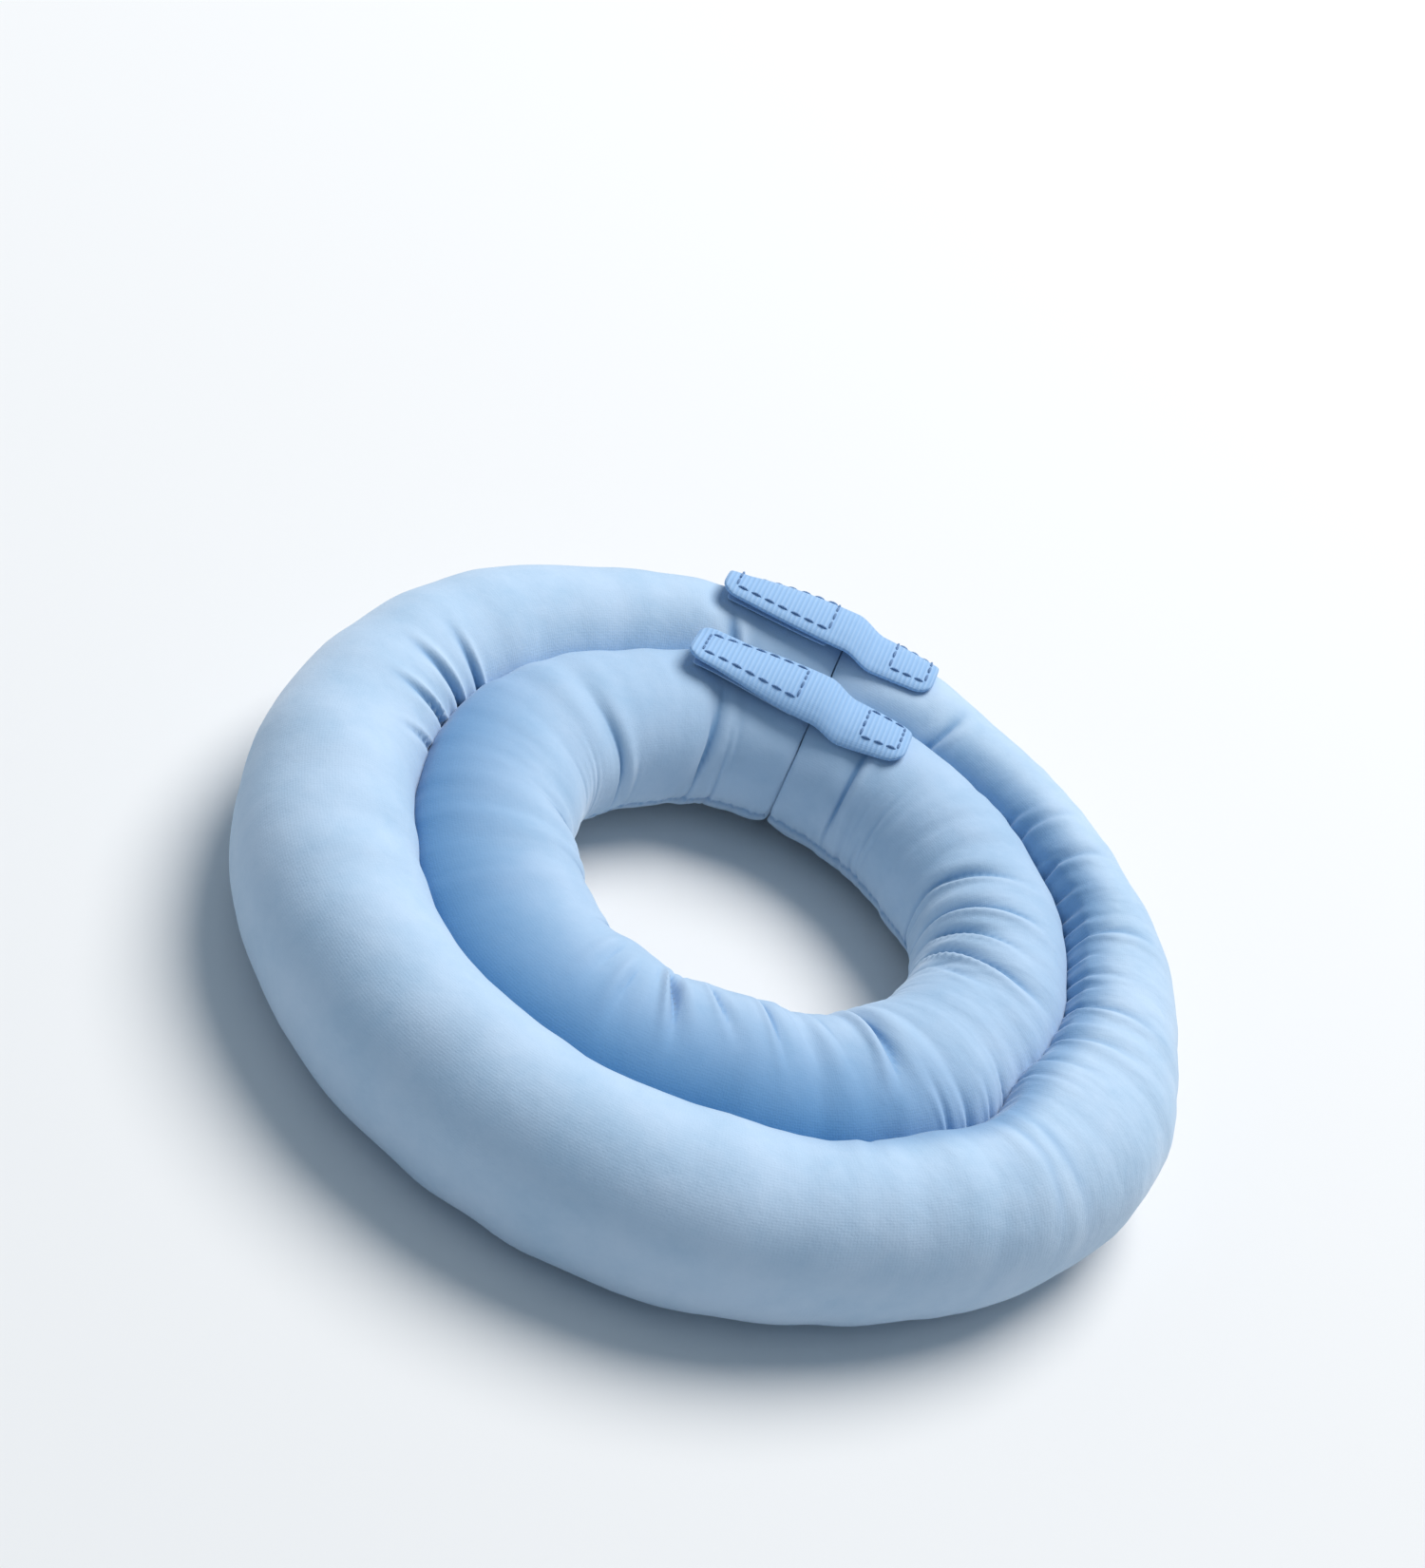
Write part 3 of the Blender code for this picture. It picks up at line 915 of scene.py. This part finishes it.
def press_under_straps(rows):
    """Hold the cloth down where the closures lie on it."""
    x, y, z = rows[..., 0], rows[..., 1], rows[..., 2]
    past_tip = smooth((x - STRAP_TIP_X + HOLD_MARGIN) / HOLD_FADE)
    along = past_tip * smooth((STRAP_END_X + HOLD_MARGIN - x) / HOLD_FADE)
    for ring, width in CLOSURES:
        aside = np.abs(y - strap_middle(ring))
        across = smooth((width / 2 + HOLD_FADE - aside) / HOLD_FADE)
        limit = CLOTH_LIMIT - strap_droop(ring, width, x, y)
        over = HOLD_SOFTNESS * np.logaddexp(0, (z - limit) / HOLD_SOFTNESS)
        z -= over * along * across
    return rows


def sew_edges(angles, rows):
    """Pull in the turned seams that run round both free edges, just below them."""
    pucker = 1 + 0.5 * waves(angles, 17, (61, 97, 149, 211), (0.6, 0.5, 0.5, 0.4))
    pull = surface_normals(rows) * EDGE_SEAM_DEPTH * pucker[:, None, None]
    for column in EDGE_SEAMS:
        for beside, share in ((-1, 0.35), (0, 1.0), (1, 0.35)):
            rows[:, column + beside] -= pull[:, column + beside] * share
    return rows


def painted_shade_and_highlight(angles, rows, base):
    """Two maps from 0 to 1: painted shade, a deeper blue in folds, on the ring's shadowed sides, beside
    the seam and on the sewn lines; and painted highlights on the folds' crests.
    """
    size = rows.shape[1]
    raised = np.sum((rows - base) * surface_normals(base), axis=2)
    window = np.ones(17) / 17
    level = np.apply_along_axis(lambda column: np.convolve(column, window, "same"), 0, raised)
    # Painted shade where the cloth lies below its smoothed neighbours, painted highlight where it rises
    # above them
    total = FOLD_SHADE * np.clip((level - raised) / FULL_FOLD, 0, 1)
    painted_highlights = np.clip((raised - level) / FULL_CREST, 0, 1) * crown(0.5)
    from_seam = (size - 1 - np.arange(size)) / LAST
    # Painted shade over the inner ring towards one side, beside the seam towards the other, and on the
    # sewn lines
    shadow_side = smooth((np.cos(angles - math.radians(SHADOW_SIDE)) + 0.35) / 0.9)
    shaded_side = smooth((np.cos(angles - math.radians(SHADED_SIDE)) - 0.05) / 0.75)
    total = np.maximum(total, np.outer(shadow_side, smooth((0.85 - from_seam) / 0.75)))
    total = np.maximum(total, INNER_SHADE * smooth((1.0 - from_seam) / 0.3))
    seam, lean = seam_line(angles)
    line = seam[:, None] + lean[:, None] * (base[..., 2] - MID_HEIGHT) / OUTER_RISE
    beside = smooth(1 - np.abs(np.hypot(base[..., 0], base[..., 1]) - line) / SEAM_SHADE_REACH)
    on_face = np.arange(size) < LAST
    total = np.maximum(total, SEAM_SHADE * shaded_side[:, None] * beside * on_face)
    sewn = [*EDGE_SEAMS, *BACK_SEAM]
    total[:, sewn] = np.maximum(total[:, sewn], SEWN_SHADE)
    return total, painted_highlights


def cloth_lengths(angles, rows):
    """Position of each point on the flat cloth: along the ring and across it."""
    along = np.repeat((angles * SEAM_RADIUS)[:, None], rows.shape[1], axis=1)
    steps = np.linalg.norm(np.diff(rows[AROUND // 4], axis=0), axis=1)
    across = np.concatenate([[0.0], np.cumsum(steps)])
    across = np.repeat(across[None, :], len(rows), axis=0)
    return np.stack([along, across, 0 * along], axis=2)


def wrinkle_share(angles, size):
    """How finely crumpled the cloth is, from 0 to 1: most on the right-hand side near the seam."""
    share = np.arange(size) / LAST
    from_seam = np.minimum(share, share[::-1])
    right = 0.2 + 0.8 * bump(angles, 8, 60)
    ring = np.where(share < share[-1] / 2, 1.0, 0.5)
    return np.outer(right, ring * (0.35 + 0.65 * smooth((1.3 - from_seam) / 0.9)))


def half_cover(name, rows, normals, lengths, painted_shades, painted_highlights, wrinkled, material):
    """One half of the cover, with the maps that its material reads."""
    points, faces = loft(rows, capped=False)
    faces = [face[::-1] for face in faces]
    piece = mesh_object(name, points, faces, material, closed=False)
    set_attribute(piece.data, "cloth", lengths.reshape(-1, 3))
    # Maps of painted shade and painted highlight, read by the cover's colour
    set_attribute(piece.data, "painted_shade", painted_shades.ravel())
    set_attribute(piece.data, "painted_highlight", painted_highlights.ravel())
    set_attribute(piece.data, "wrinkled", wrinkled.ravel())
    piece.data.normals_split_custom_set_from_vertices(normals.reshape(-1, 3).tolist())
    return piece


def closed_end(name, row, side, material):
    """Panels sewn into one end of the two rings, which meet the other end's in a slight wave."""
    inner = row[2 * LAST + 1 :]
    middle = len(inner) // 2
    edges = (
        (row[: LAST + 1], row[LAST : 2 * LAST + 1][::-1]),
        (inner[: middle + 1], inner[middle:][::-1]),
    )
    share = (1 - np.cos(np.linspace(0, np.pi, END_COLUMNS))) / 2
    parts = []
    for one, other in edges:
        grid = one[:, None] + (other - one)[:, None] * share[None, :, None]
        rung = np.linalg.norm(other - one, axis=1)
        inside = np.minimum(share, 1 - share)[None, :] * rung[:, None]
        dome = 1 - np.exp(-inside / END_ROUNDING)
        level = side * END_LEVEL + END_WAVE * np.sin(grid[..., 1] / END_WAVE_REACH)
        grid[..., 0] += (level - grid[..., 0]) * dome
        index = np.arange(len(grid) * END_COLUMNS).reshape(-1, END_COLUMNS)
        faces = np.stack([index[:-1, :-1], index[:-1, 1:], index[1:, 1:], index[1:, :-1]], axis=2)
        parts.append((grid.reshape(-1, 3), faces.reshape(-1, 4).tolist()))
    points, faces = gather(parts)
    piece = mesh_object(name, points, faces, material, closed=False)
    mesh = piece.data
    if np.sum([face.normal.x * face.area for face in mesh.polygons]) * side > 0:
        mesh.flip_normals()
    set_attribute(mesh, "cloth", points[:, [1, 2, 0]])
    for attribute in ("painted_shade", "painted_highlight", "wrinkled"):
        set_attribute(mesh, attribute, np.zeros(len(points)))
    return piece


def seam_stitches(name, rows, material):
    """Stitches down in the groove between the rings, on the face and on the back."""
    parts = []
    for pair, up in (((0, -1), 1), (BACK_SEAM, -1)):
        line = (rows[:, pair[0]] + rows[:, pair[1]]) / 2
        length = np.concatenate([[0.0], np.cumsum(np.linalg.norm(np.diff(line, axis=0), axis=1))])
        count = int(length[-1] / STITCH_PITCH)
        for number in range(count):
            ends = []
            for hole in STITCH_HOLES:
                at = (number + hole) / count * length[-1]
                ends.append([np.interp(at, length, line[:, axis]) for axis in range(3)])
            parts.append(stitch(*ends, (0, 0, up), SEAM_THREAD_RADIUS))
    return mesh_object(name, *gather(parts), material)


# Closures -------------------------


def strap_height(x):
    """Height of the strap's middle at each place along it."""
    share = smooth((STRAP_FOLD_X - x) / (STRAP_FOLD_X - STRAP_LEVEL_X))
    return ANCHOR_HEIGHT + (STRAP_HEIGHT - ANCHOR_HEIGHT) * share


def band(span, width, thickness, heights, droop, corner, middle):
    """Flat band with rounded edges and corners, lowered by the droop at each place."""
    start, end = span
    from_end = np.array((0.0, 0.02, 0.08, 0.2, 0.4, 0.7, 1.0)) * corner
    inner = np.arange(start + corner, end - corner, 0.0005)[1:]
    x = np.concatenate([start + from_end, inner, end - from_end[::-1]])
    to_end = np.minimum(x - start, end - x)
    inset = corner - np.sqrt(np.maximum(corner**2 - np.maximum(corner - to_end, 0) ** 2, 0))
    half = width / 2 - inset
    thin = 0.25 + 0.75 * np.sqrt(np.clip(to_end / (0.4 * thickness), 0, 1))
    turn = np.linspace(0, 2 * np.pi, 48, endpoint=False)
    side = np.sign(np.cos(turn)) * np.abs(np.cos(turn)) ** 0.30
    rise = np.sign(np.sin(turn)) * np.abs(np.sin(turn)) ** 0.55
    y = half[:, None] * side
    from_selvedge = width / 2 - np.abs(y) - SELVEDGE_INSET
    selvedge = SELVEDGE_RISE * np.exp(-((from_selvedge / SELVEDGE_WIDTH) ** 2))
    z = heights(x)[:, None] + thickness / 2 * thin[:, None] * rise * (1 + selvedge)
    x = np.repeat(x[:, None], len(turn), axis=1)
    return loft(np.stack([x, y + middle, z - droop(x, y + middle)], axis=2))


def closing_strap(ring, width, material):
    """Webbing strap, sewn down at its right end, that rises beside the sewn part and lies level out to
    its tip.
    """
    middle = strap_middle(ring)
    span = (STRAP_TIP_X, STRAP_END_X)
    droop = partial(strap_droop, ring, width)
    parts = band(span, width, STRAP_THICKNESS, strap_height, droop, STRAP_CORNER, middle)
    strap = mesh_object(f"{ring}_closing_strap", *parts, material)
    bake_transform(strap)
    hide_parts(f"{ring}_strap", f"{ring}_strap_anchor")


def hook(x, y, z, rng):
    """One stiff hook hanging from the strap: a stem that curls over at its tip."""
    turn = rng.uniform(-0.4, 0.4)
    lean = np.array((math.cos(turn), math.sin(turn), 0.0))
    aside, up, radii = np.transpose(HOOK_CURL) * 0.001
    centres = np.array((x, y, z)) + np.outer(aside, lean) + np.outer(up, (0, 0, 1))
    return strand(centres, radii, np.cross(lean, (0, 0, 1)), 5)


def loop(x, y, z, rng):
    """One soft loop of the fuzzy tape: an arch that lies over to one side."""
    turn = rng.uniform(0, 2 * np.pi)
    reach = rng.uniform(*LOOP_REACH)
    rise = rng.uniform(*LOOP_RISE)
    lean = rng.uniform(-0.3, 0.3) * rise
    share = np.linspace(0, np.pi, 6)
    along = np.array((math.cos(turn), math.sin(turn), 0.0))
    across = np.array((-along[1], along[0], 0.0))
    peak = across * lean + np.array((0, 0, rise))
    centres = np.array((x, y, z)) + np.outer(np.cos(share), along * reach) + np.outer(np.sin(share), peak)
    return strand(centres, np.full(6, LOOP_THREAD), across, 4)


def tape_base(ring, width, span):
    """Woven base of a tape, between the two heights of its span."""
    low, high = span
    level = partial(np.full_like, fill_value=(low + high) / 2)
    droop = partial(strap_droop, ring, width)
    wide = width - 2 * TAPE_MARGIN
    return band(TAPE_X, wide, high - low, level, droop, TAPE_CORNER, strap_middle(ring))


def hook_tape(ring, width, material):
    """Tape under the strap's tip, with rows of hooks that hang from its base."""
    middle = strap_middle(ring)
    half = (width - 2 * TAPE_MARGIN) / 2
    parts = [tape_base(ring, width, HOOK_BASE)]
    rng = np.random.default_rng(31)
    for x in np.arange(TAPE_X[0] + HOOKS_FROM, TAPE_X[1] - HOOKS_TO, HOOK_PITCH_X):
        for y in np.arange(-half + HOOKS_FROM, half - HOOKS_TO, HOOK_PITCH_Y):
            z = HOOK_BASE[0] + ROOT_DEPTH - strap_droop(ring, width, x, middle + y)
            parts.append(hook(x, middle + y, z, rng))
    tape = mesh_object(f"{ring}_hook_tape", *gather(parts), material)
    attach(tape, f"{ring}_strap")
    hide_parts(f"{ring}_hook_patch")


def loop_tape(ring, width, material):
    """Tape on the left arm, with a tangle of soft loops that stand on its base."""
    middle = strap_middle(ring)
    half = (width - 2 * TAPE_MARGIN) / 2
    parts = [tape_base(ring, width, LOOP_BASE)]
    rng = np.random.default_rng(32)
    for _ in range(LOOP_COUNT):
        x = rng.uniform(TAPE_X[0] + LOOP_INSET, TAPE_X[1] - LOOP_INSET)
        y = rng.uniform(-half + LOOP_INSET, half - LOOP_INSET)
        z = LOOP_BASE[1] - ROOT_DEPTH - strap_droop(ring, width, x, middle + y)
        parts.append(loop(x, middle + y, z, rng))
    tape = mesh_object(f"{ring}_loop_tape", *gather(parts), material)
    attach(tape, "left_arm")
    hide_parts(f"{ring}_loop_patch")


def rectangle(span, inset, half, middle):
    """Closed path round a rectangle, at a distance inside the ends of its span."""
    start, end = span[0] + inset, span[1] - inset
    low, high = middle - half, middle + half
    return [(start, low), (end, low), (end, high), (start, high), (start, low)]


def closure_stitches(ring, width, material):
    """Rectangle of stitches on the sewn end, and one round each tape."""
    middle = strap_middle(ring)
    droop = partial(strap_droop, ring, width)

    def top(x, y):
        return float(strap_height(np.array(x)) - droop(x, y)) + STRAP_THICKNESS / 2

    def tape_top(x, y):
        return LOOP_BASE[1] - float(droop(x, y))

    half = width / 2 - STRAP_STITCH_INSET
    loop_half = half - LOOP_STITCH_INSET
    sewn = stitch_run(rectangle(SEWN_X, 0, half, middle), top)
    round_hooks = stitch_run(rectangle(TAPE_X, TAPE_STITCH_INSET, half, middle), top)
    round_loops = stitch_run(rectangle(TAPE_X, TAPE_STITCH_INSET, loop_half, middle), tape_top)
    groups = (
        (f"{ring}_anchor_stitches", sewn, "right_arm"),
        (f"{ring}_strap_stitches", round_hooks, f"{ring}_strap"),
        (f"{ring}_loop_tape_stitches", round_loops, "left_arm"),
    )
    for name, parts, body in groups:
        piece = mesh_object(name, *gather(parts), material)
        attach(piece, body)


# Label ----------------------------


def folded_label(angles, material):
    """Blank ribbon folded double, its two ends sewn into the groove under the collar."""
    low, high = (np.array(corner, float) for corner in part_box("care_label"))
    middle = (low + high) / 2
    heading = math.atan2(middle[1], middle[0])
    seam, lean = (np.interp(heading, angles[::-1], line[::-1]) for line in seam_line(angles))
    out = np.array((math.cos(heading), math.sin(heading), 0.0))
    along = np.array((-out[1], out[0], 0.0))
    depth = high[2] - low[2] - LABEL_FOLD
    share = np.linspace(0, 1, 15)
    splay = 0.00009 + 0.00045 * share**3
    fold = np.linspace(0, np.pi, 9)[1:-1]
    down = [(-s, -depth * t) for s, t in zip(splay, share)]
    bend = [(-splay[-1] * math.cos(a), -depth - LABEL_FOLD * math.sin(a)) for a in fold]
    line = np.array(down + bend + [(-a, b) for a, b in down[::-1]])
    step = np.gradient(line, axis=0)
    normal = np.stack([-step[:, 1], step[:, 0]], axis=1)
    normal /= np.linalg.norm(normal, axis=1, keepdims=True)
    outline = np.concatenate([line + normal * LABEL_HALF, (line - normal * LABEL_HALF)[::-1]])
    height = high[2] + outline[:, 1]
    from_axis = seam - lean * (MID_HEIGHT - height) / OUTER_RISE + outline[:, 0]
    rows = []
    for y in np.linspace(-LABEL_WIDTH / 2, LABEL_WIDTH / 2, 21):
        sway = 0.0005 * math.sin(3.0 * y / LABEL_WIDTH + 0.6) * (outline[:, 1] / depth) ** 2
        point = along * y + np.outer(from_axis + sway, out)
        point[:, 2] = height
        rows.append(point)
    label = mesh_object("blank_care_label", *loft(rows), material)
    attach(label, "chest")
    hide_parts("care_label")


# Assembly -------------------------

make_camera()
make_studio()
cover = cover_material()
thread = thread_material()
directions, even, plump = base_rows()
cloth = relax_cloth(directions, plump, RELAX_STEPS)
rows = sew_edges(directions, press_under_straps(cloth.copy()))
normals = surface_normals(rows)
lengths = cloth_lengths(directions, rows)
# Painted shade in folds and beside the seam, and painted highlights on the crests
painted_shades, painted_highlights = painted_shade_and_highlight(directions, rows, even)
wrinkled = wrinkle_share(directions, rows.shape[1])
CHEST = AROUND // 2
halves = (("right", slice(0, CHEST + 1), 0, 1), ("left", slice(CHEST, None), -1, -1))
nodes = sorted(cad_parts)
for hand, part, end, side in halves:
    maps = (normals[part], lengths[part], painted_shades[part], painted_highlights[part], wrinkled[part])
    piece = half_cover(f"{hand}_half_cover", rows[part], *maps, cover)
    threads = seam_stitches(f"{hand}_seam_stitches", rows[part], thread)
    for item, slot in ((piece, "cover"), (threads, "thread")):
        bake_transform(item)
    own = [n for n in nodes if n.startswith(hand) or (n.startswith("chest") and hand == "right")]
    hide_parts(*[n for n in own if n.endswith(("_cover", "_stuffing"))])
    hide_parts(*[n for n in own if n.endswith("_stitches")])
    panel = closed_end(f"{hand}_closed_end", rows[end], side, cover)
    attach(panel, f"{hand}_arm")
    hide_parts(f"{hand}_end_panel")
webbing = strap_material()
hooks = tape_material("hook_tape_nylon", TAPE_BLUE, STRAP_BLUE, 0.45, 0.0)
loops = tape_material("loop_tape_velour", COVER_LIGHT, TAPE_BLUE, 0.9, 0.4)
for ring, width in CLOSURES:
    closing_strap(ring, width, webbing)
    hook_tape(ring, width, hooks)
    loop_tape(ring, width, loops)
    closure_stitches(ring, width, thread)
folded_label(directions, label_material())
